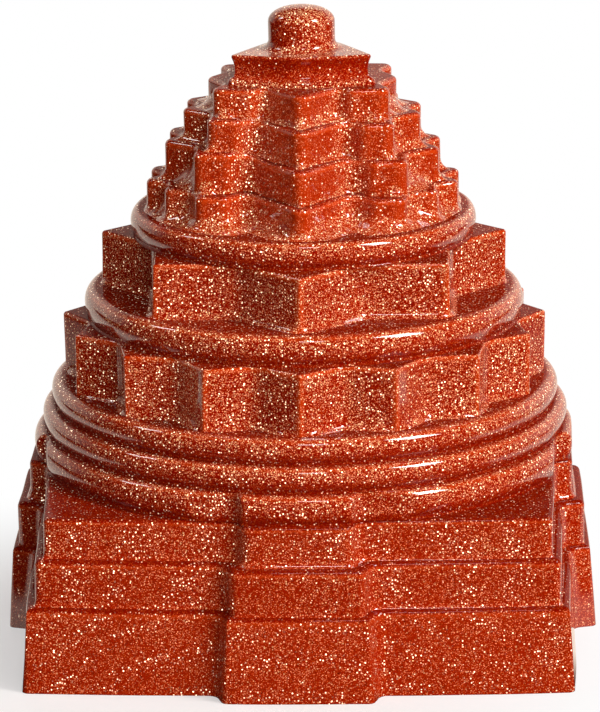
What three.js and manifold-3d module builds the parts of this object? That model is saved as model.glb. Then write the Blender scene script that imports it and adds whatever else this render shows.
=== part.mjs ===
// Shri yantra of the meru form: a stepped pyramid carved from one block and polished.
// Millimetres, +Z up, the front faces -Y, and the origin is the centre of the underside.
// The carving is one stone. Each named level is its own solid, stacked face to face.

import * as THREE from 'three';
import { mergeVertices } from 'three/addons/utils/BufferGeometryUtils.js';
import Module from 'manifold-3d';

const wasm = await Module();
wasm.setup();

// Heights of the levels from the ground up.
const heights = {
  lowerStep: 7.2,
  middleStep: 3.95,
  upperStep: 3.4,
  lowerGirdle: 2.55,
  middleGirdle: 2.2,
  upperGirdle: 2.2,
  sixteenPetals: 5.3,
  lotusGirdle: 2.6,
  eightPetals: 4.6,
  triangleGirdle: 2.25,
  fourteenTriangles: 2.6,
  outerTenTriangles: 2.9,
  innerTenTriangles: 3.0,
  eightTriangles: 2.7,
  centralTriangle: 2.55,
  bindu: 3.6,
};

// The three square steps: half widths at the wall, and the gate in the middle of each side.
const steps = {
  lower: { foot: 22.9, top: 22.25, gateHalf: 6.3, gateTopHalf: 6.0, gateFoot: 25.5, gateTop: 25.3 },
  middle: { foot: 21.75, top: 21.65, gateHalf: 5.55, gateTopHalf: 5.4, gateFoot: 24.6, gateTop: 24.45 },
  upper: { foot: 21.15, top: 21.05, gateHalf: 4.5, gateTopHalf: 4.35, gateFoot: 23.7, gateTop: 23.5 },
};
const wallBulge = 0.7;
const bulgeTurn = 0.65; // share of the half width at which the bulged wall has its turn
const gateSplay = 0.6; // a gate is this much wider on each side where it leaves the wall
const stepCornerRound = 0.5;
const gateRootRound = 0.7;
const edgeRound = 0.35;
const edgeMiddle = 0.3; // the middle of a rounded edge lies this share of it in, and down

// The two lotus tiers: radius at the ridge and in the valley between two petals.
const sixteenPetals = { count: 16, ridge: 20.9, valley: 18.5, ridgeRound: 0.3, valleyRound: 1.0 };
const eightPetals = { count: 8, ridge: 17.5, valley: 13.6, ridgeRound: 0.3, valleyRound: 1.4 };

// The girdles: radius where the wall starts at the top, at its widest, and at its foot.
const girdles = {
  lower: { shoulder: 22.6, widest: 23.6, foot: 23.3 },
  middle: { shoulder: 21.7, widest: 22.8, foot: 22.5 },
  upper: { shoulder: 21.0, widest: 22.0, foot: 21.7 },
  lotus: { shoulder: 17.9, widest: 18.9, foot: 18.5 },
  triangle: { shoulder: 14.1, widest: 14.85, foot: 14.75 },
};
// Their wall from the foot up: share of the height, and how far it has turned from the widest
// line towards the foot or towards the shoulder.
const girdleWall = [
  { up: 0.1, toFoot: 0.6 },
  { up: 0.3, toFoot: 0.2 },
  { up: 0.5, toShoulder: 0 },
  { up: 0.76, toShoulder: 0.3 },
  { up: 0.93, toShoulder: 0.65 },
];

// One quarter of each triangle tier, from the front point round to the side: outer points
// and the hollows between them, as x and distance in front of the axis.
const fourteenQuarter = [
  { x: 0, y: 14.2, tip: true },
  { x: 4.2, y: 8.1, tip: false },
  { x: 6.2, y: 10.0, tip: true },
  { x: 8.8, y: 9.8, tip: true },
  { x: 9.2, y: 6.9, tip: false },
  { x: 11.7, y: 6.4, tip: true },
  { x: 11.2, y: 3.7, tip: false },
  { x: 13.8, y: 2.5, tip: true },
  { x: 11.9, y: 0, tip: false },
];
const outerTenQuarter = [
  { x: 0, y: 12.8, tip: true },
  { x: 4.1, y: 7.0, tip: false },
  { x: 6.0, y: 8.4, tip: true },
  { x: 9.0, y: 8.1, tip: true },
  { x: 8.9, y: 4.9, tip: false },
  { x: 12.0, y: 2.4, tip: true },
  { x: 10.4, y: 0, tip: false },
];
const innerTenQuarter = [
  { x: 0, y: 11.1, tip: true },
  { x: 3.7, y: 6.1, tip: false },
  { x: 5.2, y: 7.5, tip: true },
  { x: 8.0, y: 7.3, tip: true },
  { x: 7.6, y: 4.4, tip: false },
  { x: 10.4, y: 2.1, tip: true },
  { x: 8.9, y: 0, tip: false },
];
const eightQuarter = [
  { x: 0, y: 9.3, tip: true },
  { x: 2.9, y: 5.3, tip: false },
  { x: 4.1, y: 6.1, tip: true },
  { x: 7.9, y: 5.8, tip: true },
  { x: 6.6, y: 3.0, tip: false },
  { x: 8.1, y: 0, tip: true },
];
const tipRound = 0.55;
const hollowRound = 0.9;

// The centre plate: its outline at the rim, with every side bowed out or in between sharp corners.
const centralTriangle = {
  halfWidth: 5.95,
  corner: 3.75,
  front: 5.3,
  back: 6.5,
  cornerRound: 0.25,
  frontRound: 6,
  sideBow: 0.4,
  sideRound: 3,
};
// Its hollow wall from the foot up: share of the height, and how far out from the rim.
const plateWall = [
  { up: 0, out: 0.2 },
  { up: 0.2, out: -0.32 },
  { up: 0.55, out: -0.4 },
  { up: 0.9, out: 0 },
  { up: 1, out: -0.15 },
];

const bindu = { radius: 2.85, flare: 3.15, flareHeight: 0.45, shoulderRound: 1.3, domeSteps: 6 };

const arcSteps = 3;
const roomShare = 0.45; // a rounding takes up at most this share of the sides next to it
const smallestReach = 1e-3;
const girdleSegments = 64;
const mergeDistance = 1e-4;

const stone = new THREE.MeshStandardMaterial({ color: 0xa8401f, roughness: 0.12, metalness: 0.0 });

// Replaces each corner { x, y, round } of a closed outline by an arc.
function roundedOutline(corners) {
  const points = [];
  corners.forEach((corner, i) => {
    const before = corners[(i + corners.length - 1) % corners.length];
    const after = corners[(i + 1) % corners.length];
    const here = new THREE.Vector2(corner.x, corner.y);
    const inward = new THREE.Vector2(before.x, before.y).sub(here);
    const outward = new THREE.Vector2(after.x, after.y).sub(here);
    const halfAngle = inward.angleTo(outward) / 2;
    const room = roomShare * Math.min(inward.length(), outward.length());
    const reach = Math.min(corner.round / Math.tan(halfAngle), room);
    if (!corner.round || reach < smallestReach) {
      points.push(here);
      return;
    }
    const start = here.clone().add(inward.setLength(reach));
    const end = here.clone().add(outward.setLength(reach));
    const arc = new THREE.QuadraticBezierCurve(start, here, end);
    points.push(...arc.getPoints(arcSteps));
  });
  return points;
}

// Moves every point of an outline outwards by a distance, along the outline's own normal.
function offsetOutline(outline, distance) {
  return outline.map((point, i) => {
    const before = outline[(i + outline.length - 1) % outline.length];
    const after = outline[(i + 1) % outline.length];
    const along = after.clone().sub(before).normalize();
    return new THREE.Vector2(point.x + along.y * distance, point.y - along.x * distance);
  });
}

// A closed body through outlines of equal length, each { z, outline }, from the foot up.
function stackedOutlines(levels) {
  const count = levels[0].outline.length;
  const positions = [];
  for (const { z, outline } of levels) {
    for (const point of outline) positions.push(point.x, point.y, z);
  }
  const footCentre = levels.length * count;
  const topCentre = footCentre + 1;
  positions.push(0, 0, levels[0].z, 0, 0, levels[levels.length - 1].z);
  const triangles = [];
  const topRow = (levels.length - 1) * count;
  for (let i = 0; i < count; i += 1) {
    const next = (i + 1) % count;
    triangles.push(footCentre, next, i);
    triangles.push(topCentre, topRow + i, topRow + next);
    for (let row = 0; row < topRow; row += count) {
      triangles.push(row + i, row + next, row + count + next);
      triangles.push(row + i, row + count + next, row + count + i);
    }
  }
  const geometry = new THREE.BufferGeometry();
  geometry.setAttribute('position', new THREE.Float32BufferAttribute(positions, 3));
  geometry.setIndex(triangles);
  return geometry;
}

// A square wall, slightly bulged, with a gate block in the middle of each side.
function stepOutline(half, gateHalf, gateReach) {
  const wallAt = (x) => half + wallBulge * (1 - (x / half) ** 2);
  const root = gateHalf + gateSplay;
  const side = [
    { x: -half, y: half, round: stepCornerRound },
    { x: -bulgeTurn * half, y: wallAt(bulgeTurn * half), round: 0 },
    { x: -root, y: wallAt(root), round: gateRootRound },
    { x: -gateHalf, y: gateReach, round: stepCornerRound },
    { x: gateHalf, y: gateReach, round: stepCornerRound },
    { x: root, y: wallAt(root), round: gateRootRound },
    { x: bulgeTurn * half, y: wallAt(bulgeTurn * half), round: 0 },
  ];
  const corners = [];
  for (let turn = 0; turn < 4; turn += 1) {
    const cos = Math.round(Math.cos((turn * Math.PI) / 2));
    const sin = Math.round(Math.sin((turn * Math.PI) / 2));
    for (const { x, y, round } of side) {
      corners.push({ x: x * cos + y * sin, y: x * sin - y * cos, round });
    }
  }
  return roundedOutline(corners);
}

// One square step whose walls lean in a little and whose top edge is rounded over.
function stepBody(step, foot, height) {
  const footOutline = stepOutline(step.foot, step.gateHalf, step.gateFoot);
  const topOutline = stepOutline(step.top, step.gateTopHalf, step.gateTop);
  const top = foot + height;
  return stackedOutlines([
    { z: foot, outline: footOutline },
    { z: top - edgeRound, outline: topOutline },
    { z: top - edgeMiddle * edgeRound, outline: offsetOutline(topOutline, -edgeMiddle * edgeRound) },
    { z: top, outline: offsetOutline(topOutline, -edgeRound) },
  ]);
}

// A prism between the given outline's foot and top, with its top edge rounded over.
function carvedPrism(outline, foot, height, round) {
  const top = foot + height;
  return stackedOutlines([
    { z: foot, outline },
    { z: top - round, outline },
    { z: top - edgeMiddle * round, outline: offsetOutline(outline, -edgeMiddle * round) },
    { z: top, outline: offsetOutline(outline, -round) },
  ]);
}

// Ridges and valleys in turn, with one ridge to the front.
function lotusOutline({ count, ridge, valley, ridgeRound, valleyRound }) {
  const corners = [];
  for (let i = 0; i < 2 * count; i += 1) {
    const isRidge = i % 2 === 0;
    const angle = (i * Math.PI) / count - Math.PI / 2;
    const radius = isRidge ? ridge : valley;
    const round = isRidge ? ridgeRound : valleyRound;
    corners.push({ x: radius * Math.cos(angle), y: radius * Math.sin(angle), round });
  }
  return roundedOutline(corners);
}

// Mirrors a quarter of a triangle tier to all four quarters, anticlockwise from the front.
function triangleOutline(quarter) {
  const rounded = quarter.map(({ x, y, tip }) => ({ x, y: -y, round: tip ? tipRound : hollowRound }));
  const back = rounded.filter(({ y }) => y !== 0).map((p) => ({ ...p, y: -p.y }));
  const right = [...rounded, ...back.reverse()];
  const left = right.filter(({ x }) => x !== 0).map((p) => ({ ...p, x: -p.x }));
  left.reverse();
  return roundedOutline([...right, ...left]);
}

// A turned moulding: a narrow tread, a round wall that is widest half way up, and a foot.
function girdleProfile({ shoulder, widest, foot }, low, height) {
  const top = low + height;
  const profile = [new THREE.Vector2(0, low), new THREE.Vector2(foot, low)];
  for (const { up, toFoot = 0, toShoulder = 0 } of girdleWall) {
    const radius = widest + toFoot * (foot - widest) + toShoulder * (shoulder - widest);
    profile.push(new THREE.Vector2(radius, low + up * height));
  }
  profile.push(new THREE.Vector2(shoulder, top), new THREE.Vector2(0, top));
  return profile;
}

function turned(profile) {
  return new THREE.LatheGeometry(profile, girdleSegments).rotateX(Math.PI / 2);
}

// A merged copy of a closed geometry, as a solid that can be cut.
function solidOf(geometry) {
  const bare = geometry.clone();
  bare.deleteAttribute('normal');
  bare.deleteAttribute('uv');
  const merged = mergeVertices(bare, mergeDistance);
  const vertProperties = new Float32Array(merged.getAttribute('position').array);
  const triVerts = new Uint32Array(merged.getIndex().array);
  return new wasm.Manifold(new wasm.Mesh({ numProp: 3, vertProperties, triVerts }));
}

function geometryOf(solid) {
  const mesh = solid.getMesh();
  const geometry = new THREE.BufferGeometry();
  geometry.setAttribute('position', new THREE.BufferAttribute(mesh.vertProperties, 3));
  geometry.setIndex(new THREE.BufferAttribute(mesh.triVerts, 1));
  return geometry;
}

// The lowest girdle is wider than the step below it, so it is cut flush with walls and gates.
function flushGirdle(low, height) {
  const { top, gateTopHalf, gateTop } = steps.upper;
  const wall = stepOutline(top, gateTopHalf, gateTop);
  const spare = 1;
  const block = stackedOutlines([
    { z: low - spare, outline: wall },
    { z: low + height + spare, outline: wall },
  ]);
  const girdle = solidOf(turned(girdleProfile(girdles.lower, low, height)));
  return geometryOf(girdle.intersect(solidOf(block)));
}

// The centre plate: a bowed side to the front, hollow walls and sharp corners.
function centralTriangleBody(foot, height) {
  const { halfWidth, corner, front, back } = centralTriangle;
  const { cornerRound, frontRound, sideBow, sideRound } = centralTriangle;
  const sideX = halfWidth / 2 + sideBow;
  const sideY = (back - corner) / 2 + sideBow;
  const outline = roundedOutline([
    { x: 0, y: -front, round: frontRound },
    { x: halfWidth, y: -corner, round: cornerRound },
    { x: sideX, y: sideY, round: sideRound },
    { x: 0, y: back, round: cornerRound },
    { x: -sideX, y: sideY, round: sideRound },
    { x: -halfWidth, y: -corner, round: cornerRound },
  ]);
  const levels = plateWall.map(({ up, out }) => {
    return { z: foot + up * height, outline: offsetOutline(outline, out) };
  });
  return stackedOutlines(levels);
}

// The bindu: a short round post with a domed head and a slight flare where it stands.
function binduProfile(foot, height) {
  const { radius, flare, flareHeight, shoulderRound, domeSteps } = bindu;
  const top = foot + height;
  const profile = [new THREE.Vector2(0, foot), new THREE.Vector2(flare, foot)];
  profile.push(new THREE.Vector2(radius, foot + flareHeight));
  for (let i = 0; i < domeSteps; i += 1) {
    const angle = (i / domeSteps) * (Math.PI / 2);
    const z = top - shoulderRound * (1 - Math.sin(angle));
    profile.push(new THREE.Vector2(radius * Math.cos(angle), z));
  }
  profile.push(new THREE.Vector2(0, top));
  return profile;
}

const yantra = new THREE.Group();
let level = 0;

// Adds a level on top of the last one and moves the working height up.
function addLevel(name, height, makeGeometry) {
  const mesh = new THREE.Mesh(makeGeometry(level, height), stone);
  mesh.name = name;
  yantra.add(mesh);
  level += height;
}

// A tier of triangles cut as one prism over the quarter outline that it repeats.
const triangleEdge = 0.3;
function triangleTier(quarter) {
  return (foot, height) => carvedPrism(triangleOutline(quarter), foot, height, triangleEdge);
}

const petalEdge = 0.25;
function lotus(petals) {
  return (foot, height) => carvedPrism(lotusOutline(petals), foot, height, petalEdge);
}

function squareStep(step) {
  return (foot, height) => stepBody(step, foot, height);
}

function roundGirdle(girdle) {
  return (low, height) => turned(girdleProfile(girdle, low, height));
}

addLevel('bhupura_lower_step', heights.lowerStep, squareStep(steps.lower));
addLevel('bhupura_middle_step', heights.middleStep, squareStep(steps.middle));
addLevel('bhupura_upper_step', heights.upperStep, squareStep(steps.upper));
addLevel('lower_girdle', heights.lowerGirdle, flushGirdle);
addLevel('middle_girdle', heights.middleGirdle, roundGirdle(girdles.middle));
addLevel('upper_girdle', heights.upperGirdle, roundGirdle(girdles.upper));
addLevel('sixteen_petal_lotus', heights.sixteenPetals, lotus(sixteenPetals));
addLevel('lotus_girdle', heights.lotusGirdle, roundGirdle(girdles.lotus));
addLevel('eight_petal_lotus', heights.eightPetals, lotus(eightPetals));
addLevel('triangle_girdle', heights.triangleGirdle, roundGirdle(girdles.triangle));
addLevel('fourteen_triangle_tier', heights.fourteenTriangles, triangleTier(fourteenQuarter));
addLevel('outer_ten_triangle_tier', heights.outerTenTriangles, triangleTier(outerTenQuarter));
addLevel('inner_ten_triangle_tier', heights.innerTenTriangles, triangleTier(innerTenQuarter));
addLevel('eight_triangle_tier', heights.eightTriangles, triangleTier(eightQuarter));
addLevel('central_triangle', heights.centralTriangle, centralTriangleBody);
addLevel('bindu', heights.bindu, (z, h) => turned(binduProfile(z, h)));

export default yantra;
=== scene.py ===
import bisect
import math
import bpy
from mathutils import Matrix, Vector, noise


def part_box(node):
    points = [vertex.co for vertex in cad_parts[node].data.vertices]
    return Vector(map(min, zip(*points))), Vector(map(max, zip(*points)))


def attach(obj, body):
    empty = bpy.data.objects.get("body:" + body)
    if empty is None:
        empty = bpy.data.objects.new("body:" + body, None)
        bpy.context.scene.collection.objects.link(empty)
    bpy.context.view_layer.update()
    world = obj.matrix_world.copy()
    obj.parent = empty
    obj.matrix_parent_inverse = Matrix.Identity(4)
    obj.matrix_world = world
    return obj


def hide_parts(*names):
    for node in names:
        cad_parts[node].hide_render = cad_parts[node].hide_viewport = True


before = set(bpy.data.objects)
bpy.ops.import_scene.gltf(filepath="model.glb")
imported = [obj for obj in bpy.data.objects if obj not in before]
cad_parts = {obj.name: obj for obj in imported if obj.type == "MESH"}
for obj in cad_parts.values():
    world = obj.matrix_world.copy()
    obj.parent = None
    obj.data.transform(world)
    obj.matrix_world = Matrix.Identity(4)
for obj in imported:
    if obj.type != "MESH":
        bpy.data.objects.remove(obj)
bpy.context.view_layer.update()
mm = 0.001
tiny = 1e-9                 # stands in for zero where something is divided by it

# How the whole block was finished: ground by hand and rounded by the polishing wheel
handWork = {
    "unevenMm": 0.12,       # how far a carved wall wanders from its drawn line
    "unevenWaveMm": 7.0,    # over what length it wanders
    "unevenSeed": 4,        # which way, the same on every run
    "meshStepMm": 0.5,      # spacing of points along a straight wall
    "cornerSteps": 7,       # steps round each carved corner,
    "coveSteps": 8,         # up a cove,
    "wallSteps": 4,         # up a wall,
    "edgeSteps": 8,         # over a rounded top edge
    "ringSteps": 288,       # and round a girdle
    "leastRoundMm": 0.03,   # even a sharp corner is this round
    "roundShare": 0.47,     # and a rounding takes at most this share of the wall beside it
    "sinkMm": 0.06,         # each level is set this far into the tread below, which hides the joint
    "skirtMm": 0.3,         # a cove's foot goes on straight down this far, so that no gap opens under it
    "leastCove": 0.02,      # share of its width that a cove keeps where the tread has no room for it
    "coveClimb": 0.4,       # its height goes with this power of its width
    "hollowReachMm": 2.8,   # how far round a hollow its painted gold sparkle and its higher cove reach
    "paintedShadeFade": 0.25,       # share of a rounded edge over which painted shade comes in
    "topInMm": 0.05,        # the flat top starts this far inside the rounded edge
    # the left of the triangle tiers was left this much higher (height, rise), from one x to the other
    "leftRise": ((36.25, 0), (38.85, 0.25), (41.75, 0.75), (44.75, 0.4), (47.45, 0)),
    "leftFromTo": (-2.5, -5.5),
}
noise.seed_set(handWork["unevenSeed"])


def hexToLinear(code):
    channels = [int(code[i:i + 2], 16) / 255 for i in (1, 3, 5)]
    linear = [c / 12.92 if c <= 0.04045 else ((c + 0.055) / 1.055) ** 2.4 for c in channels]
    return (*linear, 1.0)


# Adds a node with its settings, values and links, and with its colours if it is a colour ramp
def addNode(tree, kind, settings=None, values=None, links=None, stops=None):
    node = tree.nodes.new(kind)
    for key, value in (settings or {}).items():
        setattr(node, key, value)
    for key, value in (values or {}).items():
        node.inputs[key].default_value = value
    for key, source in (links or {}).items():
        tree.links.new(source, node.inputs[key])
    for i, (position, colour) in enumerate(stops or []):
        elements = node.color_ramp.elements
        element = elements[i] if i < 2 else elements.new(position)
        element.position = position
        element.color = colour
    return node


# An outline is a list of corners (x, y, rounding), anticlockwise seen from above, in mm.
# This grows it outwards by an even distance and rounds its corners.
def grownOutline(corners, grow):
    count = len(corners)
    points = [Vector((x, y)) for x, y, rounding in corners]
    along = [(points[(i + 1) % count] - points[i]).normalized() for i in range(count)]
    outward = [Vector((a.y, -a.x)) for a in along]
    moved = []
    for i in range(count):
        before, after = outward[i - 1], outward[i]
        moved.append(points[i] + (before + after) * (grow / (1 + before.dot(after))))
    arcs = []
    for i in range(count):
        before, after = along[i - 1], along[i]
        cross = before.x * after.y - before.y * after.x
        turn = math.atan2(cross, before.dot(after))
        side = 1 if cross > 0 else -1
        radius = max(corners[i][2] + grow * side, handWork["leastRoundMm"])
        shortest = min((moved[i] - moved[i - 1]).length, (moved[(i + 1) % count] - moved[i]).length)
        reach = min(radius * math.tan(abs(turn) / 2), handWork["roundShare"] * shortest)
        radius = reach / math.tan(abs(turn) / 2)
        spoke = outward[i - 1] * radius * side
        centre = moved[i] - before * reach - spoke
        arc = []
        for step in range(handWork["cornerSteps"] + 1):
            angle = turn * step / handWork["cornerSteps"]
            cos, sin = math.cos(angle), math.sin(angle)
            arc.append(centre + Vector((spoke.x * cos - spoke.y * sin, spoke.x * sin + spoke.y * cos)))
        arcs.append(arc)
    outline = []
    for i in range(count):
        outline += arcs[i]
        start, end = arcs[i][-1], arcs[(i + 1) % count][0]
        parts = max(1, round((points[(i + 1) % count] - points[i]).length / handWork["meshStepMm"]))
        outline += [start.lerp(end, k / parts) for k in range(1, parts)]
    return outline


# 1 at the outward corners of an outline and 0 elsewhere, point by point as grownOutline lays them
def atOutwardCorners(corners):
    count = len(corners)
    points = [Vector((x, y)) for x, y, rounding in corners]
    marks = []
    for i in range(count):
        before, after = points[i] - points[i - 1], points[(i + 1) % count] - points[i]
        outward = before.x * after.y - before.y * after.x > 0
        marks += [1.0 if outward else 0.0] * (handWork["cornerSteps"] + 1)
        marks += [0.0] * (max(1, round(after.length / handWork["meshStepMm"])) - 1)
    return marks


# 1 in the hollows of an outline, fading to 0 a little way out of them
def inHollows(corners, outline):
    hollows = []
    for i, (x, y, rounding) in enumerate(corners):
        here, after = Vector((x, y)), Vector(corners[(i + 1) % len(corners)][:2])
        before, after = here - Vector(corners[i - 1][:2]), after - here
        if before.x * after.y - before.y * after.x < 0:
            hollows.append(here)
    nearest = [min((p - h).length for h in hollows) for p in outline]
    return [max(0, 1 - d / handWork["hollowReachMm"]) for d in nearest]


def roundOutline(radius, count=handWork["ringSteps"]):
    angles = [2 * math.pi * i / count for i in range(count)]
    return [Vector((radius * math.sin(a), -radius * math.cos(a))) for a in angles]


def lift(p, z):
    return Vector((p.x, p.y, z))


def drift(p):
    return noise.noise_vector(p / handWork["unevenWaveMm"]) * handWork["unevenMm"]


# How much higher the carver left this spot
def leftRise(p):
    knots = handWork["leftRise"]
    rise = 0
    for (low, a), (high, b) in zip(knots, knots[1:]):
        if low <= p.z < high:
            rise = a + (b - a) * (p.z - low) / (high - low)
    start, end = handWork["leftFromTo"]
    share = min(1, max(0, (p.x - start) / (end - start)))
    return Vector((0, 0, rise * share * share * (3 - 2 * share)))


# Skins rings of points, from the foot up, into one closed level. Of its three lists of values, one per
# point, the first is a painted glow standing in for light coming through thin glass, the second is painted
# shade that makes the glass dark and plain, and the third painted gold sparkle where coves and hollows catch
# light.
def levelMesh(name, rings, paintedGlow=None, paintedShade=None, gold=None):
    verts = [(p + drift(p) * Vector((1, 1, 0)) + leftRise(p)) * mm for ring in rings for p in ring]
    count = len(rings[0])
    faces = []
    for row in range(len(rings) - 1):
        low, high = row * count, (row + 1) * count
        for i in range(count):
            j = (i + 1) % count
            faces.append((low + i, low + j, high + j, high + i))
    top = (len(rings) - 1) * count
    faces.append(tuple(reversed(range(count))))
    faces.append(tuple(range(top, top + count)))
    mesh = bpy.data.meshes.new(name)
    mesh.from_pydata(verts, [], faces)
    mesh.shade_smooth()
    for label, values in (("paintedGlow", paintedGlow), ("paintedShade", paintedShade), ("gold", gold)):
        attribute = mesh.attributes.new(label, "FLOAT", "POINT")
        if values:
            attribute.data.foreach_set("value", [value for ring in values for value in ring])
    piece = bpy.data.objects.new(name, mesh)
    bpy.context.scene.collection.objects.link(piece)
    return piece


def dress(piece, node):
    piece.data.materials.append(goldstoneMaterial)
    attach(piece, "root")
    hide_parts(node)
    print("carved", piece.name, len(piece.data.vertices), "points")
    return piece


def levelSpan(node):
    low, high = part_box(node)
    return low.z / mm, high.z / mm


# How far the rim of the last level reaches in each direction, so that the next cove stays on its tread
rimBelow = []


def rememberRim(outline):
    rimBelow[:] = sorted((math.atan2(p.y, p.x), math.hypot(p.x, p.y)) for p in outline)


def treadEnd(p):
    angle = math.atan2(p.y, p.x)
    k = bisect.bisect(rimBelow, (angle, 0.0)) % len(rimBelow)
    (a, ra), (b, rb) = rimBelow[k - 1], rimBelow[k]
    span = (b - a) % (2 * math.pi)
    share = ((angle - a) % (2 * math.pi)) / span if span > tiny else 0
    return ra + (rb - ra) * min(share, 1)


# How much of the cove's width the tread below has room for, at each point round the wall
def coveRoom(inner, outer, overEdge):
    shares = []
    for near, far in zip(inner, outer):
        wanted = max(far.length - near.length, tiny)
        room = treadEnd(far) + overEdge - near.length if rimBelow else wanted
        shares.append(max(handWork["leastCove"], min(1, room / wanted)))
    return shares


# A wall with a cove at its foot and a rounded top edge. The cove climbs higher where it has room
# to run out, and in the hollows. A cut gives, in mm: how far the cove runs out and up, how much
# more in the hollows (hollowUp), how far past the rim below it may go (overEdge), the rounding of
# the edge, and how far the wall leans in. It also gives the looks: how strongly a painted glow, for
# light through thin glass, lightens the wall, its outward corners and the first steps of the edge; from
# what share of the edge painted shade darkens it, and how much on the tread; and how much painted gold
# sparkle the coves and the hollows get.
def carvedLevel(node, corners, cut, bend=lambda p: p):
    low, high = levelSpan(node)
    edge, lean = cut["edge"], cut.get("lean", 0)
    coveSteps, wallSteps, edgeSteps = handWork["coveSteps"], handWork["wallSteps"], handWork["edgeSteps"]

    def outline(grow):
        return [bend(p) for p in grownOutline(corners, grow)]

    inner, outer = outline(0), outline(cut["coveOut"])
    count = len(inner)
    shares = coveRoom(inner, outer, cut["overEdge"])
    hollow = inHollows(corners, grownOutline(corners, 0))
    feet = [low + (cut["coveUp"] + cut["hollowUp"] * w) * share ** handWork["coveClimb"]
            for share, w in zip(shares, hollow)]
    bottom, skirt = (low - handWork["sinkMm"], handWork["skirtMm"]) if rimBelow else (low, 0)
    rings = [[lift(a.lerp(b, share), bottom - skirt) for a, b, share in zip(inner, outer, shares)]]
    if cut["coveOut"]:
        for k in range(coveSteps):
            angle = k / coveSteps * math.pi / 2
            out, up = 1 - math.sin(angle), 1 - math.cos(angle)
            rings.append([lift(a.lerp(b, out * share), bottom + (foot - bottom) * up)
                          for a, b, share, foot in zip(inner, outer, shares, feet)])
    # painted gold sparkle in the cove, and round the hollows above it, where they catch light
    gold = [[cut["gold"]] * count] * len(rings)
    for k in range(wallSteps + 1):
        up = 1 - (1 - k / wallSteps) ** 2
        rings.append([lift(p, foot + (high - edge - foot) * up)
                      for p, foot in zip(outline(-lean * up), feet)])
    # painted glow, for light coming through thin glass: on the wall, more on its outward corners, and on the
    # first steps of the edge
    inWall = [max(cut["paintedGlowWall"], mark * cut["paintedGlowCorner"]) for mark in atOutwardCorners(corners)]
    paintedGlow = [inWall] * (len(rings) - 1) + [[cut["paintedGlow"]] * count] * (cut["paintedGlowSteps"] + 1)
    paintedGlow += [[0.0] * count] * (edgeSteps + 1 - cut["paintedGlowSteps"])
    # painted shade: the edge darkens from a share of its height up, and the tread is darkened
    paintedShade = [[0.0] * count] * len(rings)
    for k in range(1, edgeSteps + 1):
        angle = k / edgeSteps * math.pi / 2
        rings.append([lift(p, high - edge + edge * math.sin(angle))
                      for p in outline(-lean - edge * (1 - math.cos(angle)))])
        paintedShade.append([min(1, max(0, (k / edgeSteps - cut["paintedShadeFrom"]) / handWork["paintedShadeFade"]))] * count)
    rings.append([lift(p, high) for p in outline(-lean - edge - handWork["topInMm"])])
    paintedShade.append([cut["paintedShadeTread"]] * count)
    gold += [[cut["hollowGold"] * w for w in hollow]] * (len(rings) - len(gold))
    rememberRim(rings[-1])
    return dress(levelMesh("carved_" + node, rings, paintedGlow, paintedShade, gold), node)


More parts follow.
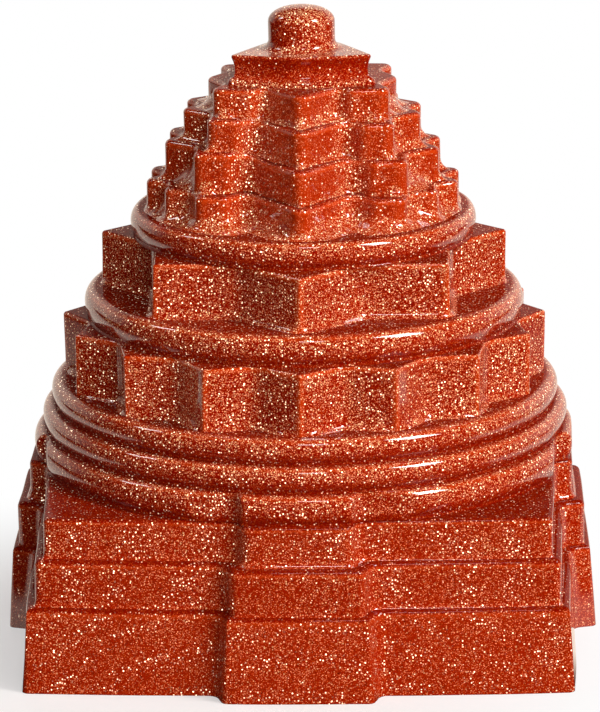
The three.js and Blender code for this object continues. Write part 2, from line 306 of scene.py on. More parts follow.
# Goldstone: aventurine glass full of copper crystals, ground and polished to a wet gloss
goldstone = {
    "glass": "#960F00",           # clear deep red between the crystals
    "dust": "#CE4A18",            # the finest crystals, which turn it orange
    "copper": "#FF996D",          # crystals that show as copper
    "gold": "#FFC48A",            # crystals at their thickest, which the painted gold sparkle in coves and on faces towards the lamps reaches
    "paintedGlint": "#FFE2C0",           # and a painted glint: the few that glow pale gold, as if they caught the light
    "ramp": (0.0, 0.24, 0.62, 1.0),       # how many crystals bring in the first four of these colours
    "paintedGlow": "#D8420C",            # painted glow at thin edges, standing in for light coming through the glass
    "dustMm": 0.053,              # radius of the dust, drawn as coarse as it needs to show
    "dustSpacingMm": 0.105,
    "dustShare": 0.72,            # how far up the colours above the dust reaches
    "dustKeeps": 0.55,            # the part of the dust that is everywhere the same
    "dustPower": 1.3,             # above 1, bright ones are rare
    "flakeMm": 0.072,             # radius of the larger crystals
    "flakeSpacingMm": 0.23,
    "flakeShare": 1.6,
    "flakePower": 1.6,
    "softFrom": 0.7,              # a crystal fades out from this share of its radius
    # painted glints: a glow given off by the few large crystals, standing in for the light they catch
    "paintedGlintStrength": 3.4,
    "paintedGlintFrom": 0.9,             # the share of crystals that have none, where there are hardly any
    "paintedGlintMore": -0.42,           # and how that changes with their share,
    "paintedGlintShareMost": 1.3,        # up to this share: beyond it the gold is all fine
    "sideShadeKeeps": 0.1,            # painted shade: faces turned right away to the left, from the lamps, keep this much of their glints and gold,
    "sideShadeFromTo": (-0.9, -0.4),
    "gatePaintedGlints": 0.2,            # and the gates at the sides keep this much of their painted glints
    "gateFromToMm": (22.6, 23.2),
    "flakeMetal": 0.3,            # how much of a crystal's light is mirrored
    "crystalRough": 0.45,
    "tilt": 1.4,                  # how freely the crystals are turned
    "paintedSparkleAxis": (0.3, -0.6, 0.742),      # painted sparkle: faces turned this way, towards the lamps and the viewer, get more and golder crystals
    "paintedSparkleFromTo": (0.38, 0.9),
    "paintedSparklePower": 1.5,
    # how much that painted sparkle counts, and how much the crystals show in coves and on walls, by height
    "paintedSparkleWeights": ((0, 1), (36.3, 1), (36.6, 0.1), (49.8, 0.1), (50.1, 1), (54, 1)),
    "coveShares": ((0, 0.9), (14, 1.1), (17, 2.2), (36, 2.3), (38, 2.9), (47.6, 2.9), (48.1, 0.5),
                   (49.6, 0.5), (50.0, 4.0), (54, 4.0)),
    "wallShares": ((0, 0.52), (8, 0.58), (12, 0.9), (14, 0.95), (17, 1.2), (22, 1.4), (34, 1.4),
                   (37, 0.36), (47, 0.36), (48, 0.35), (54, 0.35)),
    "underShadeShare": 0.4,            # painted shade: fewer crystals and glints where a roll turns under
    "underShadeFromTo": (-0.35, -0.05),
    "paintedShadeShare": 0.3,             # and in painted shade, on treads, grooves and dark edges,
    "paintedShadeDark": 0.7,              # which painted shade darkens to this share of their colour,
    "paintedShadePolish": 0.2,            # and which the polishing wheel hardly reached
    "cloudMm": 5.0,               # size of the clouds in the glass
    "cloudDepth": 0.2,
    "cloudFromTo": (0.3, 0.7),
    "waveMm": 4.0,                # length of the shallow waves that polishing leaves
    "waveDepthMm": 0.03,
    "polishRough": 0.035,
    "polishIor": 1.7,             # a little above glass, because the skin over the crystals shines more
}


# Crystals of one size: how bright each spot is, where their bodies are, which way each leans, and a
# number between 0 and 1 for each
def crystalLayer(tree, place, radiusMm, spacingMm, power, share):
    cells = addNode(tree, "ShaderNodeTexVoronoi", None, {"Scale": 1 / (spacingMm * mm)}, {"Vector": place})
    edge = radiusMm / spacingMm
    body = addNode(tree, "ShaderNodeMapRange", None,
                   {"From Min": edge, "From Max": edge * goldstone["softFrom"]},
                   {"Value": cells.outputs["Distance"]})
    split = addNode(tree, "ShaderNodeSeparateColor", None, None, {"Color": cells.outputs["Color"]})
    bright = addNode(tree, "ShaderNodeMath", {"operation": "POWER"}, {1: power}, {0: split.outputs["Red"]})
    scaled = addNode(tree, "ShaderNodeMath", {"operation": "MULTIPLY"}, {1: share}, {0: bright.outputs[0]})
    glitter = addNode(tree, "ShaderNodeMath", {"operation": "MULTIPLY"}, None,
                      {0: scaled.outputs[0], 1: body.outputs["Result"]})
    # a cell's colour runs from 0 to 1 in each channel, so half is taken off to lean both ways
    lean = addNode(tree, "ShaderNodeVectorMath", {"operation": "SUBTRACT"}, {1: (0.5, 0.5, 0.5)},
                   {0: cells.outputs["Color"]})
    return glitter.outputs[0], body.outputs["Result"], lean.outputs[0], split.outputs["Green"]


# A value that changes with height, from a list of (height in mm, value)
def byHeight(tree, height, steps):
    top, most = steps[-1][0], max(value for z, value in steps)
    level = addNode(tree, "ShaderNodeMath", {"operation": "DIVIDE"}, {1: top * mm}, {0: height})
    grey = addNode(tree, "ShaderNodeValToRGB", None, None, {"Fac": level.outputs[0]},
                   [(z / top, [value / most] * 3 + [1]) for z, value in steps])
    return addNode(tree, "ShaderNodeMath", {"operation": "MULTIPLY"}, {1: most},
                   {0: grey.outputs["Color"]}).outputs[0]


def makeGoldstone():
    material = bpy.data.materials.new("polishedGoldstone")
    material.use_nodes = True
    tree = material.node_tree
    tree.nodes.clear()
    place = addNode(tree, "ShaderNodeTexCoord").outputs["Object"]
    normal = addNode(tree, "ShaderNodeNewGeometry").outputs["Normal"]
    height = addNode(tree, "ShaderNodeSeparateXYZ", None, None, {0: place}).outputs["Z"]
    upward = addNode(tree, "ShaderNodeSeparateXYZ", None, None, {0: normal}).outputs["Z"]
    # marks the carving laid on each point: painted glow, painted shade and painted gold sparkle
    paintedGlow, paintedShade, gold = [addNode(tree, "ShaderNodeAttribute", {"attribute_name": name}).outputs["Fac"]
                        for name in ("paintedGlow", "paintedShade", "gold")]
    dust, dustBody, dustLean, _ = crystalLayer(tree, place, goldstone["dustMm"], goldstone["dustSpacingMm"],
                                               goldstone["dustPower"], goldstone["dustShare"])
    flakes, flakeBody, flakeLean, chance = crystalLayer(
        tree, place, goldstone["flakeMm"], goldstone["flakeSpacingMm"], goldstone["flakePower"],
        goldstone["flakeShare"])

    # clouds: the crystals lie denser in some places
    clouds = addNode(tree, "ShaderNodeTexNoise", None,
                     {"Scale": 1 / (goldstone["cloudMm"] * mm), "Detail": 3.0}, {"Vector": place})
    low, high = goldstone["cloudFromTo"]
    density = addNode(tree, "ShaderNodeMapRange", None,
                      {"From Min": low, "From Max": high, "To Min": 1 - goldstone["cloudDepth"],
                       "To Max": 1 + goldstone["cloudDepth"]}, {"Value": clouds.outputs["Fac"]}).outputs[0]
    # painted shade: less painted glint and gold on faces turned away to the left from the lamps, fewer glints
    # on the gates at the sides, and fewer crystals and glints under the rolls and on treads
    toSide = addNode(tree, "ShaderNodeSeparateXYZ", None, None, {0: normal}).outputs["X"]
    low, high = goldstone["sideShadeFromTo"]
    paintedSideShade = addNode(tree, "ShaderNodeMapRange", {"interpolation_type": "SMOOTHSTEP"},
                        {"From Min": low, "From Max": high, "To Min": goldstone["sideShadeKeeps"]},
                        {"Value": toSide}).outputs[0]
    across = addNode(tree, "ShaderNodeSeparateXYZ", None, None, {0: place}).outputs["X"]
    across = addNode(tree, "ShaderNodeMath", {"operation": "ABSOLUTE"}, None, {0: across})
    low, high = goldstone["gateFromToMm"]
    fewerGateGlints = addNode(tree, "ShaderNodeMapRange", {"interpolation_type": "SMOOTHSTEP"},
                      {"From Min": low * mm, "From Max": high * mm, "To Min": 1.0,
                       "To Max": goldstone["gatePaintedGlints"]}, {"Value": across.outputs[0]}).outputs[0]
    low, high = goldstone["underShadeFromTo"]
    paintedUnderShade = addNode(tree, "ShaderNodeMapRange", {"interpolation_type": "SMOOTHSTEP"},
                        {"From Min": low, "From Max": high, "To Min": goldstone["underShadeShare"]},
                        {"Value": upward}).outputs[0]
    fewer, darker, duller = [
        addNode(tree, "ShaderNodeMapRange", None, {"To Min": 1.0, "To Max": goldstone[name]},
                {"Value": paintedShade}).outputs["Result"] for name in ("paintedShadeShare", "paintedShadeDark", "paintedShadePolish")]

    # how golden a spot is: painted sparkle where it faces the lamps and the viewer, and in coves and hollows,
    # less on faces turned to the left
    facing = addNode(tree, "ShaderNodeVectorMath", {"operation": "DOT_PRODUCT"},
                     {1: goldstone["paintedSparkleAxis"]}, {0: normal})
    low, high = goldstone["paintedSparkleFromTo"]
    facingSparkle = addNode(tree, "ShaderNodeMapRange", {"interpolation_type": "SMOOTHSTEP"},
                      {"From Min": low, "From Max": high}, {"Value": facing.outputs["Value"]})
    facingSparkle = addNode(tree, "ShaderNodeMath", {"operation": "POWER"}, {1: goldstone["paintedSparklePower"]},
                      {0: facingSparkle.outputs["Result"]})
    facingSparkle = addNode(tree, "ShaderNodeMath", {"operation": "MULTIPLY"}, None,
                      {0: facingSparkle.outputs[0], 1: byHeight(tree, height, goldstone["paintedSparkleWeights"])})
    paintedCoveGold = addNode(tree, "ShaderNodeMath", {"operation": "MULTIPLY"}, None, {0: gold, 1: paintedSideShade})
    golden = addNode(tree, "ShaderNodeMath", {"operation": "MAXIMUM"}, None,
                     {0: facingSparkle.outputs[0], 1: paintedCoveGold.outputs[0]})
    shown = addNode(tree, "ShaderNodeMix", {"data_type": "FLOAT"}, None,
                    {0: golden.outputs[0], 2: byHeight(tree, height, goldstone["wallShares"]),
                     3: byHeight(tree, height, goldstone["coveShares"])}).outputs[0]

    # colour from both sizes of crystal
    spread = addNode(tree, "ShaderNodeMath", {"operation": "MULTIPLY_ADD"},
                     {1: 1 - goldstone["dustKeeps"], 2: goldstone["dustKeeps"]}, {0: shown}).outputs[0]
    fine, coarse = [addNode(tree, "ShaderNodeMath", {"operation": "MULTIPLY"}, None,
                            {0: layer, 1: factor}).outputs[0]
                    for layer, factor in ((dust, spread), (flakes, shown))]
    crystals = addNode(tree, "ShaderNodeMath", {"operation": "MAXIMUM"}, None,
                       {0: fine, 1: coarse}).outputs[0]
    for factor in (density, paintedUnderShade, fewer):
        crystals = addNode(tree, "ShaderNodeMath", {"operation": "MULTIPLY"}, None,
                           {0: crystals, 1: factor}).outputs[0]
    colours = [hexToLinear(goldstone[name]) for name in ("glass", "dust", "copper", "gold")]
    grained = addNode(tree, "ShaderNodeValToRGB", None, None, {"Fac": crystals},
                      list(zip(goldstone["ramp"], colours)))
    # painted glow: thin edges lightened towards orange, standing in for light coming through the glass
    lit = addNode(tree, "ShaderNodeMix", {"data_type": "RGBA", "blend_type": "LIGHTEN"},
                  {7: hexToLinear(goldstone["paintedGlow"])}, {0: paintedGlow, 6: grained.outputs["Color"]})
    # painted shade darkens the colour on treads, grooves and dark edges
    colour = addNode(tree, "ShaderNodeVectorMath", {"operation": "SCALE"}, None,
                     {0: lit.outputs[2], "Scale": darker}).outputs[0]

    # painted glints: the few large crystals glow, standing in for the light they catch
    paintedGlintShare = addNode(tree, "ShaderNodeMath", {"operation": "MINIMUM"}, {1: goldstone["paintedGlintShareMost"]},
                         {0: shown})
    paintedGlintStart = addNode(tree, "ShaderNodeMath", {"operation": "MULTIPLY_ADD"},
                         {1: goldstone["paintedGlintMore"], 2: goldstone["paintedGlintFrom"]}, {0: paintedGlintShare.outputs[0]})
    paintedGlinting = addNode(tree, "ShaderNodeMapRange", None, {"To Max": goldstone["paintedGlintStrength"]},
                       {"Value": chance, "From Min": paintedGlintStart.outputs[0]}).outputs[0]
    paintedGlint = flakes
    for factor in (paintedGlinting, density, paintedSideShade, fewerGateGlints, paintedUnderShade, fewer):
        paintedGlint = addNode(tree, "ShaderNodeMath", {"operation": "MULTIPLY"}, None,
                        {0: paintedGlint, 1: factor}).outputs[0]

    # each crystal mirrors a little, its own way round
    metal = addNode(tree, "ShaderNodeMath", {"operation": "MULTIPLY"}, {1: goldstone["flakeMetal"]},
                    {0: flakes})
    dustLeaning = addNode(tree, "ShaderNodeVectorMath", {"operation": "SCALE"}, None,
                          {0: dustLean, "Scale": dustBody})
    leanings = addNode(tree, "ShaderNodeMix", {"data_type": "VECTOR"}, None,
                       {0: flakeBody, 4: dustLeaning.outputs[0], 5: flakeLean})
    leaning = addNode(tree, "ShaderNodeVectorMath", {"operation": "MULTIPLY_ADD"},
                      {1: (goldstone["tilt"],) * 3}, {0: leanings.outputs[1], 2: normal})
    crystalNormal = addNode(tree, "ShaderNodeVectorMath", {"operation": "NORMALIZE"}, None,
                            {0: leaning.outputs[0]})
    # the polish: a clear smooth skin over it all, with the shallow waves of handwork
    waves = addNode(tree, "ShaderNodeTexNoise", None,
                    {"Scale": 1 / (goldstone["waveMm"] * mm), "Detail": 2.0}, {"Vector": place})
    polish = addNode(tree, "ShaderNodeBump", None,
                     {"Strength": 1.0, "Distance": goldstone["waveDepthMm"] * mm},
                     {"Height": waves.outputs["Fac"]})
    skin = addNode(tree, "ShaderNodeBsdfPrincipled", None,
                   {"Roughness": goldstone["crystalRough"], "IOR": 1.5, "Specular IOR Level": 0.0,
                    "Emission Color": hexToLinear(goldstone["paintedGlint"]),
                    "Coat Roughness": goldstone["polishRough"], "Coat IOR": goldstone["polishIor"]},
                   {"Base Color": colour, "Metallic": metal.outputs[0], "Emission Strength": paintedGlint,
                    "Coat Weight": duller,
                    "Normal": crystalNormal.outputs[0], "Coat Normal": polish.outputs["Normal"]})
    addNode(tree, "ShaderNodeOutputMaterial", None, None, {"Surface": skin.outputs["BSDF"]})
    return material


goldstoneMaterial = makeGoldstone()
print("material made")


# The square enclosure: three steps, each with a gate block in the middle of every side. The walls
# and the gates' faces are this far from the middle, and a gate is twice gateHalf wide.
# the last value of each step is how strongly a painted glow, for light through thin glass, lightens its wall
squareSteps = {
    "bhupura_lower_step": {"wall": 22.9, "gateHalf": 6.2, "gateReach": 25.6, "lean": 0.5, "coveOut": 0.0,
                           "coveUp": 0.06, "edge": 0.45, "cornerRound": 0.5, "gateRound": 0.6,
                           "rootRound": 0.9, "paintedGlowWall": 0.15},
    "bhupura_middle_step": {"wall": 21.7, "gateHalf": 5.45, "gateReach": 24.6, "lean": 0.0, "coveOut": 0.6,
                            "coveUp": 0.7, "edge": 0.5, "cornerRound": 0.5, "gateRound": 0.7,
                            "rootRound": 1.1, "paintedGlowWall": 0.12},
    "bhupura_upper_step": {"wall": 21.0, "gateHalf": 4.4, "gateReach": 23.55, "lean": 0.0, "coveOut": 0.6,
                           "coveUp": 0.7, "edge": 0.35, "cornerRound": 0.45, "gateRound": 0.7,
                           "rootRound": 1.1, "paintedGlowWall": 0.12},
}
# how all three treat their edges: a painted glow line under a rounded edge and tread darkened by painted
# shade
stepEdges = {"paintedGlow": 0.5, "paintedGlowCorner": 0.1, "paintedGlowSteps": 1, "paintedShadeFrom": 0.2, "paintedShadeTread": 1.0,
             "hollowUp": 0.0, "overEdge": 0.16, "gold": 0.0, "hollowGold": 0.0}
enclosure = {
    "bowMm": 0.75,          # the walls swell this much in the middle
    "gateSplayMm": 0.6,     # a gate block is this much wider at its root, on each side
    "asideMm": -0.3,        # the square was cut a little to the left of the round tiers
}


def gatedSquare(step):
    wall, half, reach = step["wall"], step["gateHalf"], step["gateReach"] - enclosure["bowMm"]
    root = half + enclosure["gateSplayMm"]
    side = [(-wall, wall, step["cornerRound"]), (-root, wall, step["rootRound"]),
            (-half, reach, step["gateRound"]), (half, reach, step["gateRound"]),
            (root, wall, step["rootRound"])]
    corners = []
    for cos, sin in ((1, 0), (0, 1), (-1, 0), (0, -1)):
        corners += [(x * cos + y * sin, x * sin - y * cos, rounding) for x, y, rounding in side]
    return corners


def bowOut(wall):
    def bend(p):
        across = min(abs(p.x), abs(p.y)) / wall
        swell = enclosure["bowMm"] * max(0, 1 - across ** 2)
        if abs(p.x) <= abs(p.y):
            return p + Vector((enclosure["asideMm"], math.copysign(swell, p.y)))
        return p + Vector((enclosure["asideMm"] + math.copysign(swell, p.x), 0))
    return bend


def carvedStep(node):
    step = squareSteps[node]
    return carvedLevel(node, gatedSquare(step), {**step, **stepEdges}, bowOut(step["wall"]))


# Round girdles: soft rolls, each a little narrower than the one below. Each has its radius at the
# widest, how far its shoulder comes in, and how far its foot runs out.
girdles = {
    "lower_girdle": {"widest": 23.6, "shoulder": 0.95, "coveOut": 0.16},
    "middle_girdle": {"widest": 22.8, "shoulder": 0.95, "coveOut": 0.16},
    "upper_girdle": {"widest": 22.0, "shoulder": 1.0, "coveOut": 0.16},
    "lotus_girdle": {"widest": 18.9, "shoulder": 1.0, "coveOut": 0.25},
    "triangle_girdle": {"widest": 14.85, "shoulder": 0.75, "coveOut": 0.25},
}
roll = {
    "steps": 24,
    "widestAt": 0.52,       # share of the height at which a roll is widest
    "returnMm": 0.46,       # how far it comes back in below that
    "coveShare": 0.1,       # share of the height that the hollow at the foot takes
    "fullness": 2.1,        # 2 is an even round, more is squarer
    "topInMm": 0.15,        # the flat top starts this far inside the shoulder
    "paintedShadeBelow": 0.3,       # share of the height at its foot that painted shade darkens
    "treadFrom": 0.97,      # share of the height from which painted shade darkens it again
    "rimAt": 0.9,           # share of the height at which a painted glow, for light coming through, lightens its thin rim
    "rimWide": 0.07,
    "rimPaintedGlow": 0.6,
}


def girdleProfile(low, high, girdle):
    profile = [(low - handWork["sinkMm"], girdle["widest"] - roll["returnMm"] + girdle["coveOut"])]
    for k in range(roll["steps"] + 1):
        t = k / roll["steps"]
        if t < roll["widestAt"]:
            pull = roll["returnMm"] * (1 - math.sin(t / roll["widestAt"] * math.pi / 2))
        else:
            u = (t - roll["widestAt"]) / (1 - roll["widestAt"])
            pull = girdle["shoulder"] * (1 - (1 - u ** roll["fullness"]) ** (1 / roll["fullness"]))
        cove = girdle["coveOut"] * max(0, 1 - t / roll["coveShare"]) ** 2
        profile.append((low + (high - low) * t, girdle["widest"] - pull + cove))
    profile.append((high, girdle["widest"] - girdle["shoulder"] - roll["topInMm"]))
    return profile


# Painted shade darkens the groove at the foot of a roll and the tread at its top, and a painted glow, for
# light coming through, lightens its thin rim
def girdleShades(count):
    paintedGlow, paintedShade = [[0.0] * count], [[1.0] * count]
    for k in range(roll["steps"] + 1):
        t = k / roll["steps"]
        rim = max(0, 1 - abs(t - roll["rimAt"]) / roll["rimWide"])
        tread = (t - roll["treadFrom"]) / (1 - roll["treadFrom"])
        paintedGlow.append([roll["rimPaintedGlow"] * rim] * count)
        paintedShade.append([max(0, 1 - t / roll["paintedShadeBelow"], tread)] * count)
    return paintedGlow + [[0.0] * count], paintedShade + [[1.0] * count]


def carvedGirdle(node):
    low, high = levelSpan(node)
    rings = []
    for z, radius in girdleProfile(low, high, girdles[node]):
        rings.append([lift(p, z) for p in roundOutline(radius)])
    rememberRim(rings[-1])
    return dress(levelMesh("carved_" + node, rings, *girdleShades(len(rings[0]))), node)


# The lowest girdle is wider than the step under it, so it is cut flush with that step's walls
flushCut = {
    "insideMm": 0.03,       # it stays this far inside the step's rim
    "softMm": 0.15,         # how softly its round turns into the flat cut
    "steps": 720,
    "rayMm": 40.0,          # any radius outside the block, for looking outwards
}


def flushGirdle(node, below):
    low, high = levelSpan(node)
    step = squareSteps[below]
    bend = bowOut(step["wall"])
    rememberRim([bend(p) for p in grownOutline(gatedSquare(step), -step["lean"] - flushCut["insideMm"])])
    soft = flushCut["softMm"]
    rings = []
    for z, radius in girdleProfile(low, high, girdles[node]):
        ring = []
        for ray in roundOutline(flushCut["rayMm"], flushCut["steps"]):
            wall = treadEnd(ray)
            # the smaller of the two radii, with a soft turn between them
            gap = max(soft - abs(radius - wall), 0) / soft
            ring.append(lift(ray.normalized() * (min(radius, wall) - gap * gap * soft / 4), z))
        rings.append(ring)
    rememberRim(rings[-1])
    return dress(levelMesh("carved_" + node, rings, *girdleShades(len(rings[0]))), node)


# Lotus tiers: sharp ridges with hollow valleys between, at these radii, one ridge to the front
lotuses = {
    "sixteen_petal_lotus": {"count": 16, "ridge": 20.9, "valley": 18.55, "ridgeRound": 0.2,
                            "valleyRound": 1.4, "coveOut": 0.8, "coveUp": 0.8, "edge": 0.3},
    "eight_petal_lotus": {"count": 8, "ridge": 17.5, "valley": 13.6, "ridgeRound": 0.25,
                          "valleyRound": 1.8, "coveOut": 0.9, "coveUp": 0.8, "edge": 0.3},
}
# painted glow on the ridges and the top edge, painted shade over the edge and on the tread, painted gold
# sparkle in the coves
petalEdges = {"paintedGlow": 0.6, "paintedGlowWall": 0.0, "paintedGlowCorner": 0.6, "paintedGlowSteps": 4, "paintedShadeFrom": 0.6,
              "paintedShadeTread": 1.0, "hollowUp": 0.0, "overEdge": -0.05, "gold": 0.7, "hollowGold": 0.0}


def lotusCorners(lotus):
    corners = []
    for i in range(2 * lotus["count"]):
        angle = math.pi * i / lotus["count"]
        radius, rounding = lotus["ridge"], lotus["ridgeRound"]
        if i % 2:
            radius, rounding = lotus["valley"], lotus["valleyRound"]
        corners.append((radius * math.sin(angle), -radius * math.cos(angle), rounding))
    return corners


def carvedLotus(node):
    lotus = lotuses[node]
    return carvedLevel(node, lotusCorners(lotus), {**lotus, **petalEdges})


# Triangle tiers, each a quarter from the front point to the side: x, distance towards the front,
# and whether it is a tip (True) or a hollow between two tips
triangleTiers = {
    "fourteen_triangle_tier": [(0, 14.2, True), (4.3, 7.7, False), (6.2, 10.0, True), (8.7, 9.8, True),
                               (9.2, 6.9, False), (11.7, 6.4, True), (11.2, 3.7, False), (13.8, 2.5, True),
                               (11.9, 0, False)],
    "outer_ten_triangle_tier": [(0, 12.8, True), (4.2, 6.6, False), (6.0, 8.4, True), (9.0, 8.1, True),
                                (8.9, 4.9, False), (12.0, 2.4, True), (10.4, 0, False)],
    "inner_ten_triangle_tier": [(0, 11.1, True), (3.8, 5.7, False), (5.2, 7.5, True), (8.0, 7.3, True),
                                (7.6, 4.4, False), (10.4, 2.1, True), (8.9, 0, False)],
    "eight_triangle_tier": [(0, 9.3, True), (3.0, 5.0, False), (4.1, 6.1, True), (7.9, 5.8, True),
                            (6.6, 3.0, False), (8.1, 0, True)],
}
triangleCut = {
    "tipRound": 0.9,
    "hollowRound": 1.2,
    "coveOut": 2.2,         # wide coves, which run as far as the tread goes
    "coveUp": 1.35,
    "hollowUp": 0.6,        # and climb this much more in the hollows
    "overEdge": 0.0,
    "edge": 0.42,
    # painted glow on the walls, the tips and the top edge, painted shade over the edge and on the tread, and
    # painted gold sparkle in coves and hollows
    "paintedGlow": 0.65,
    "paintedGlowWall": 0.22,
    "paintedGlowCorner": 0.4,
    "paintedGlowSteps": 3,
    "paintedShadeFrom": 0.75,
    "paintedShadeTread": 0.85,
    "gold": 1.0,
    "hollowGold": 0.9,
    "backLean": 0.05,       # the back halves were cut this much to the right, per mm of depth
}


def triangleCorners(quarter):
    front = [(x, -y, triangleCut["tipRound" if tip else "hollowRound"]) for x, y, tip in quarter]
    back = [(x, -y, rounding) for x, y, rounding in reversed(front) if y]
    right = front + back
    left = [(-x, y, rounding) for x, y, rounding in reversed(right) if x]
    return right + left


def leanBack(p):
    return p + Vector((triangleCut["backLean"] * max(0, p.y), 0))


def carvedTriangles(node):
    return carvedLevel(node, triangleCorners(triangleTiers[node]), triangleCut, leanBack)


# The centre plate: a triangle with hollow walls and sharp rims, pointing to the back
centrePlate = {
    "halfWidth": 5.95,
    "corner": 3.75,         # its front corners lie this far forward,
    "front": 5.3,           # the middle of its front edge this far,
    "back": 6.5,            # and its back corner this far back
    "sideBow": 0.4,         # the middles of its two long sides are pushed this far out, in x and in y
    "rimRound": 0.3,
    "frontRound": 6.0,
    "sideRound": 3.0,
    "goldBelow": 0.22,      # share of the height at its foot that gets the painted gold sparkle
    # share of the height, and how far out from the rim
    "profile": [(0, 0.42), (0.08, 0.4), (0.15, 0.33), (0.2, 0.2), (0.23, 0.02), (0.28, -0.14), (0.36, -0.24),
                (0.5, -0.28), (0.65, -0.24), (0.78, -0.14), (0.88, -0.03), (0.93, 0), (0.97, -0.03),
                (0.995, -0.12), (1, -0.24), (1, -0.36)],
}


def carvedPlate(node):
    low, high = levelSpan(node)
    plate = centrePlate
    sideX = plate["halfWidth"] / 2 + plate["sideBow"]
    sideY = (plate["back"] - plate["corner"]) / 2 + plate["sideBow"]
    rim, front, side = plate["rimRound"], plate["frontRound"], plate["sideRound"]
    corners = [(0, -plate["front"], front), (plate["halfWidth"], -plate["corner"], rim),
               (sideX, sideY, side), (0, plate["back"], rim), (-sideX, sideY, side),
               (-plate["halfWidth"], -plate["corner"], rim)]
    foot = [lift(p, low - handWork["sinkMm"]) for p in grownOutline(corners, plate["profile"][0][1])]
    rings = [foot] + [[lift(p, low + (high - low) * share) for p in grownOutline(corners, grow)]
                      for share, grow in plate["profile"]]
    golden = [1.0] + [1.0 if share < plate["goldBelow"] else 0.0 for share, grow in plate["profile"]]
    gold = [[value] * len(foot) for value in golden]
    rememberRim(rings[-1])
    return dress(levelMesh("carved_" + node, rings, None, None, gold), node)


# The bindu: a short post with a domed head, spreading where it meets the plate
binduPost = {
    "radius": 2.82,
    "spreadOut": 0.8,       # how far its foot spreads out, and how far up that starts
    "spreadUp": 0.75,
    "dome": 1.35,           # height of the domed head
    "domeSquareness": 0.85,     # 1 is round, less is squarer
    "footSteps": 12,
    "wallSteps": 3,
    "domeSteps": 17,
    "roundSteps": 96,
}


def carvedBindu(node):
    low, high = levelSpan(node)
    post = binduPost
    profile = [(low - handWork["sinkMm"], post["radius"] + post["spreadOut"])]
    for k in range(post["footSteps"] + 1):
        angle = k / post["footSteps"] * math.pi / 2
        profile.append((low + post["spreadUp"] * (1 - math.cos(angle)),
                        post["radius"] + post["spreadOut"] * (1 - math.sin(angle))))
    rim = high - post["dome"]
    wallFoot = low + post["spreadUp"]
    for k in range(1, post["wallSteps"] + 1):
        profile.append((wallFoot + (rim - wallFoot) * k / post["wallSteps"], post["radius"]))
    for k in range(1, post["domeSteps"]):
        angle = k / post["domeSteps"] * math.pi / 2
        profile.append((rim + post["dome"] * math.sin(angle),
                        post["radius"] * math.cos(angle) ** post["domeSquareness"]))
    rings = [[lift(p, z) for p in roundOutline(radius, post["roundSteps"])] for z, radius in profile]
    return dress(levelMesh("carved_" + node, rings), node)


# From the foot up, because each level's cove is fitted to the tread below it
for stepNode in squareSteps:
    carvedStep(stepNode)
flushGirdle("lower_girdle", "bhupura_upper_step")
carvedGirdle("middle_girdle")
carvedGirdle("upper_girdle")
carvedLotus("sixteen_petal_lotus")
carvedGirdle("lotus_girdle")
carvedLotus("eight_petal_lotus")
carvedGirdle("triangle_girdle")
for tierNode in triangleTiers:
    carvedTriangles(tierNode)
carvedPlate("central_triangle")
carvedBindu("bindu")
print("carving done")


# The room: a floor of white card, which the lights' own shadow falls on, and what the polish mirrors
studio = {
    "cardColour": "#B9B2AF",              # what the lamps and their shadow fall on
    "cardGlow": 0.48,                     # the rest of the card's white, which no shadow darkens
    "bounceColour": "#8A8280",            # how much light the card throws back at the object
    "floorHalfM": 1.5,
    "clearShiftMm": (12.0, 14.0, 0.0),    # moves the spot that the card brightens from, to the left front
    "clearFromToMm": (18.0, 50.0),        # the card turns clean white between these distances
    "mirrorDark": 0.005,                  # what the polish mirrors on the viewer's side,
    "mirrorColour": "#FFF0E0",            # and behind, a warm white
    "cardWhiteMm": (-22.0, -12.0),        # the mirrored card turns white between these, going back,
    "cardEndMm": (50.0, 95.0),            # and dark again between these, going sideways,
    "cardWidens": 0.8,                    # which move out this much for each mm further back
    "roomWhite": (0.1, 0.7),              # the mirrored room turns white by how far back a direction points,
    "roomEnd": (0.35, 0.65),              # and dark again by how far up
    "ambient": 0.09,                      # how brightly the room itself lights the object
}


# Brightness of the room as the polish mirrors it: dark towards the viewer, white behind, and
# dark again where the second value runs past the end of the white (high overhead, or off the card)
def roomShade(tree, towardBack, white, away, end):
    behind = addNode(tree, "ShaderNodeMapRange", {"interpolation_type": "SMOOTHSTEP"},
                     {"From Min": white[0], "From Max": white[1]}, {"Value": towardBack})
    inside = addNode(tree, "ShaderNodeMapRange", {"interpolation_type": "SMOOTHSTEP"},
                     {"From Min": end[0], "From Max": end[1], "To Min": 1.0, "To Max": 0.0}, {"Value": away})
    both = addNode(tree, "ShaderNodeMath", {"operation": "MULTIPLY"}, None,
                   {0: behind.outputs["Result"], 1: inside.outputs["Result"]})
    return addNode(tree, "ShaderNodeMath", {"operation": "MAXIMUM"}, {1: studio["mirrorDark"]},
                   {0: both.outputs[0]}).outputs[0]


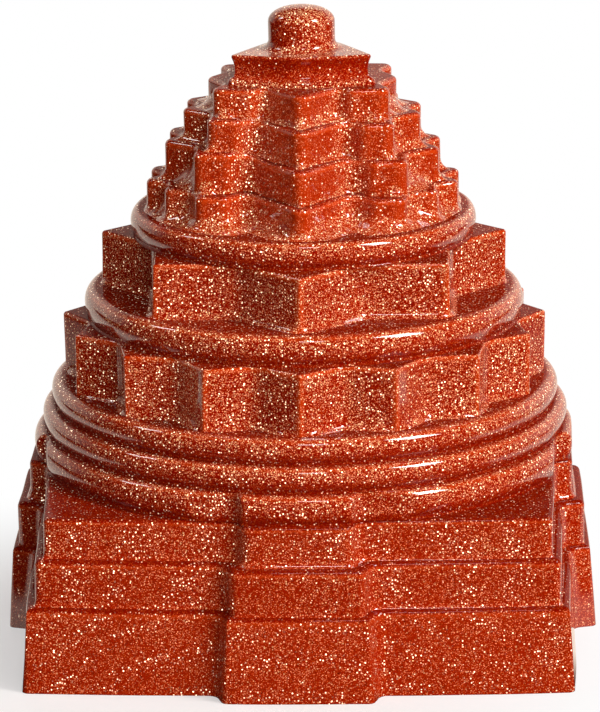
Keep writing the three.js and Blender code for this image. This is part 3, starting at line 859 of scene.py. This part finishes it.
def makeFloor():
    half = studio["floorHalfM"]
    corners = [(-half, -half, 0), (half, -half, 0), (half, half, 0), (-half, half, 0)]
    mesh = bpy.data.meshes.new("floor")
    mesh.from_pydata(corners, [], [(0, 1, 2, 3)])
    floor = bpy.data.objects.new("floor", mesh)
    bpy.context.scene.collection.objects.link(floor)
    material = bpy.data.materials.new("whiteCard")
    material.use_nodes = True
    tree = material.node_tree
    tree.nodes.clear()
    place = addNode(tree, "ShaderNodeTexCoord").outputs["Object"]
    path = addNode(tree, "ShaderNodeLightPath")
    # as the camera sees it: card with a soft shadow, fading to clean white
    shifted = addNode(tree, "ShaderNodeVectorMath", {"operation": "ADD"},
                      {1: [v * mm for v in studio["clearShiftMm"]]}, {0: place})
    away = addNode(tree, "ShaderNodeVectorMath", {"operation": "LENGTH"}, None, {0: shifted.outputs[0]})
    near, far = studio["clearFromToMm"]
    clear = addNode(tree, "ShaderNodeMapRange", {"interpolation_type": "SMOOTHSTEP"},
                    {"From Min": near * mm, "From Max": far * mm}, {"Value": away.outputs["Value"]})
    card = addNode(tree, "ShaderNodeBsdfDiffuse", None, {"Color": hexToLinear(studio["cardColour"])})
    glow = addNode(tree, "ShaderNodeEmission", None, {"Color": (1, 1, 1, 1), "Strength": studio["cardGlow"]})
    litCard = addNode(tree, "ShaderNodeAddShader", None, None, {0: card.outputs[0], 1: glow.outputs[0]})
    white = addNode(tree, "ShaderNodeEmission", None, {"Color": (1, 1, 1, 1), "Strength": 1.0})
    seen = addNode(tree, "ShaderNodeMixShader", None, None,
                   {0: clear.outputs["Result"], 1: litCard.outputs[0], 2: white.outputs[0]})
    # as the polish mirrors it, and as it throws light back
    split = addNode(tree, "ShaderNodeSeparateXYZ", None, None, {0: place})
    sideways = addNode(tree, "ShaderNodeMath", {"operation": "ABSOLUTE"}, None, {0: split.outputs["X"]})
    sideways = addNode(tree, "ShaderNodeMath", {"operation": "MULTIPLY_ADD"}, {1: -studio["cardWidens"]},
                       {0: split.outputs["Y"], 2: sideways.outputs[0]})
    shade = roomShade(tree, split.outputs["Y"], [v * mm for v in studio["cardWhiteMm"]],
                      sideways.outputs[0], [v * mm for v in studio["cardEndMm"]])
    mirrored = addNode(tree, "ShaderNodeEmission", None, {"Color": hexToLinear(studio["mirrorColour"])},
                       {"Strength": shade})
    bounce = addNode(tree, "ShaderNodeBsdfDiffuse", None, {"Color": hexToLinear(studio["bounceColour"])})
    unseen = addNode(tree, "ShaderNodeMixShader", None, None,
                     {0: path.outputs["Is Glossy Ray"], 1: bounce.outputs[0], 2: mirrored.outputs[0]})
    mixed = addNode(tree, "ShaderNodeMixShader", None, None,
                    {0: path.outputs["Is Camera Ray"], 1: unseen.outputs[0], 2: seen.outputs[0]})
    addNode(tree, "ShaderNodeOutputMaterial", None, None, {"Surface": mixed.outputs[0]})
    mesh.materials.append(material)


def makeWorld():
    world = bpy.data.worlds.new("studioRoom")
    bpy.context.scene.world = world
    world.use_nodes = True
    tree = world.node_tree
    tree.nodes.clear()
    toward = addNode(tree, "ShaderNodeTexCoord").outputs["Generated"]
    split = addNode(tree, "ShaderNodeSeparateXYZ", None, None, {0: toward})
    path = addNode(tree, "ShaderNodeLightPath")
    shade = roomShade(tree, split.outputs["Y"], studio["roomWhite"], split.outputs["Z"], studio["roomEnd"])
    mirrored = addNode(tree, "ShaderNodeMix", {"data_type": "FLOAT"}, {2: studio["ambient"]},
                       {0: path.outputs["Is Glossy Ray"], 3: shade})
    strength = addNode(tree, "ShaderNodeMath", {"operation": "MAXIMUM"}, None,
                       {0: mirrored.outputs[0], 1: path.outputs["Is Camera Ray"]})
    tint = addNode(tree, "ShaderNodeMix", {"data_type": "RGBA"},
                   {6: (1, 1, 1, 1), 7: hexToLinear(studio["mirrorColour"])},
                   {0: path.outputs["Is Glossy Ray"]})
    light = addNode(tree, "ShaderNodeBackground", None, None,
                    {"Color": tint.outputs[2], "Strength": strength.outputs[0]})
    addNode(tree, "ShaderNodeOutputWorld", None, None, {"Surface": light.outputs[0]})


# Lamps, all turned to the middle of the object. Azimuth 0 is the viewer's side, and positive is to the
# right. The wide pale ones are too even to show in the polish, and the light from the left is a little green.
lampAimMm = 25.0
lamps = {
    "keySoftbox": {"azimuth": 62, "elevation": 46, "distanceMm": 450, "sizeMm": (110, 150), "watts": 1.3},
    "paleSheet": {"azimuth": 28, "elevation": 12, "distanceMm": 480, "sizeMm": (400, 300), "watts": 1.95,
                  "inPolish": False},
    "leftCard": {"azimuth": -75, "elevation": 25, "distanceMm": 450, "sizeMm": (300, 300), "watts": 0.14,
                 "inPolish": False, "tint": (0.72, 1.0, 0.96)},
    "backCard": {"azimuth": 180, "elevation": 14, "distanceMm": 480, "sizeMm": (400, 300), "watts": 1.3,
                 "inPolish": False},
    "rimSoftbox": {"azimuth": -105, "elevation": 48, "distanceMm": 420, "sizeMm": (60, 80), "watts": 0.12},
    "smallWindow": {"azimuth": 7, "elevation": 55, "distanceMm": 420, "sizeMm": (80, 36), "watts": 0.12},
}


def hangLamp(name, lamp):
    data = bpy.data.lights.new(name, "AREA")
    data.shape = "RECTANGLE"
    data.size, data.size_y = lamp["sizeMm"][0] * mm, lamp["sizeMm"][1] * mm
    data.energy = lamp["watts"]
    data.color = lamp.get("tint", (1, 1, 1))
    light = bpy.data.objects.new(name, data)
    a, e = math.radians(lamp["azimuth"]), math.radians(lamp["elevation"])
    away = Vector((math.sin(a) * math.cos(e), -math.cos(a) * math.cos(e), math.sin(e)))
    light.location = Vector((0, 0, lampAimMm * mm)) + away * lamp["distanceMm"] * mm
    light.rotation_euler = (-away).to_track_quat("-Z", "Y").to_euler()
    light.visible_glossy = lamp.get("inPolish", True)
    bpy.context.scene.collection.objects.link(light)


makeFloor()
makeWorld()
for lampName, lampSettings in lamps.items():
    hangLamp(lampName, lampSettings)
print("studio lit")

# Camera at the photograph's angle: a long lens a little above the girdles
view = {"lens": 231.7, "place": (6.5, -324.1, 111.1), "aim": (-0.4, 0.0, 22.7), "rollDegrees": -0.52}


def makeCamera():
    camera = bpy.data.objects.new("camera", bpy.data.cameras.new("camera"))
    camera.data.sensor_fit = "HORIZONTAL"
    camera.data.sensor_width = 36.0
    camera.data.lens = view["lens"]
    camera.data.clip_start = 0.01
    camera.location = Vector(view["place"]) * mm
    look = (Vector(view["aim"]) * mm - camera.location).to_track_quat("-Z", "Y")
    tip = Matrix.Rotation(math.radians(view["rollDegrees"]), 3, "Z")
    camera.rotation_euler = (look.to_matrix() @ tip).to_euler()
    bpy.context.scene.collection.objects.link(camera)
    bpy.context.scene.camera = camera


makeCamera()
bpy.context.scene.view_settings.view_transform = "Standard"
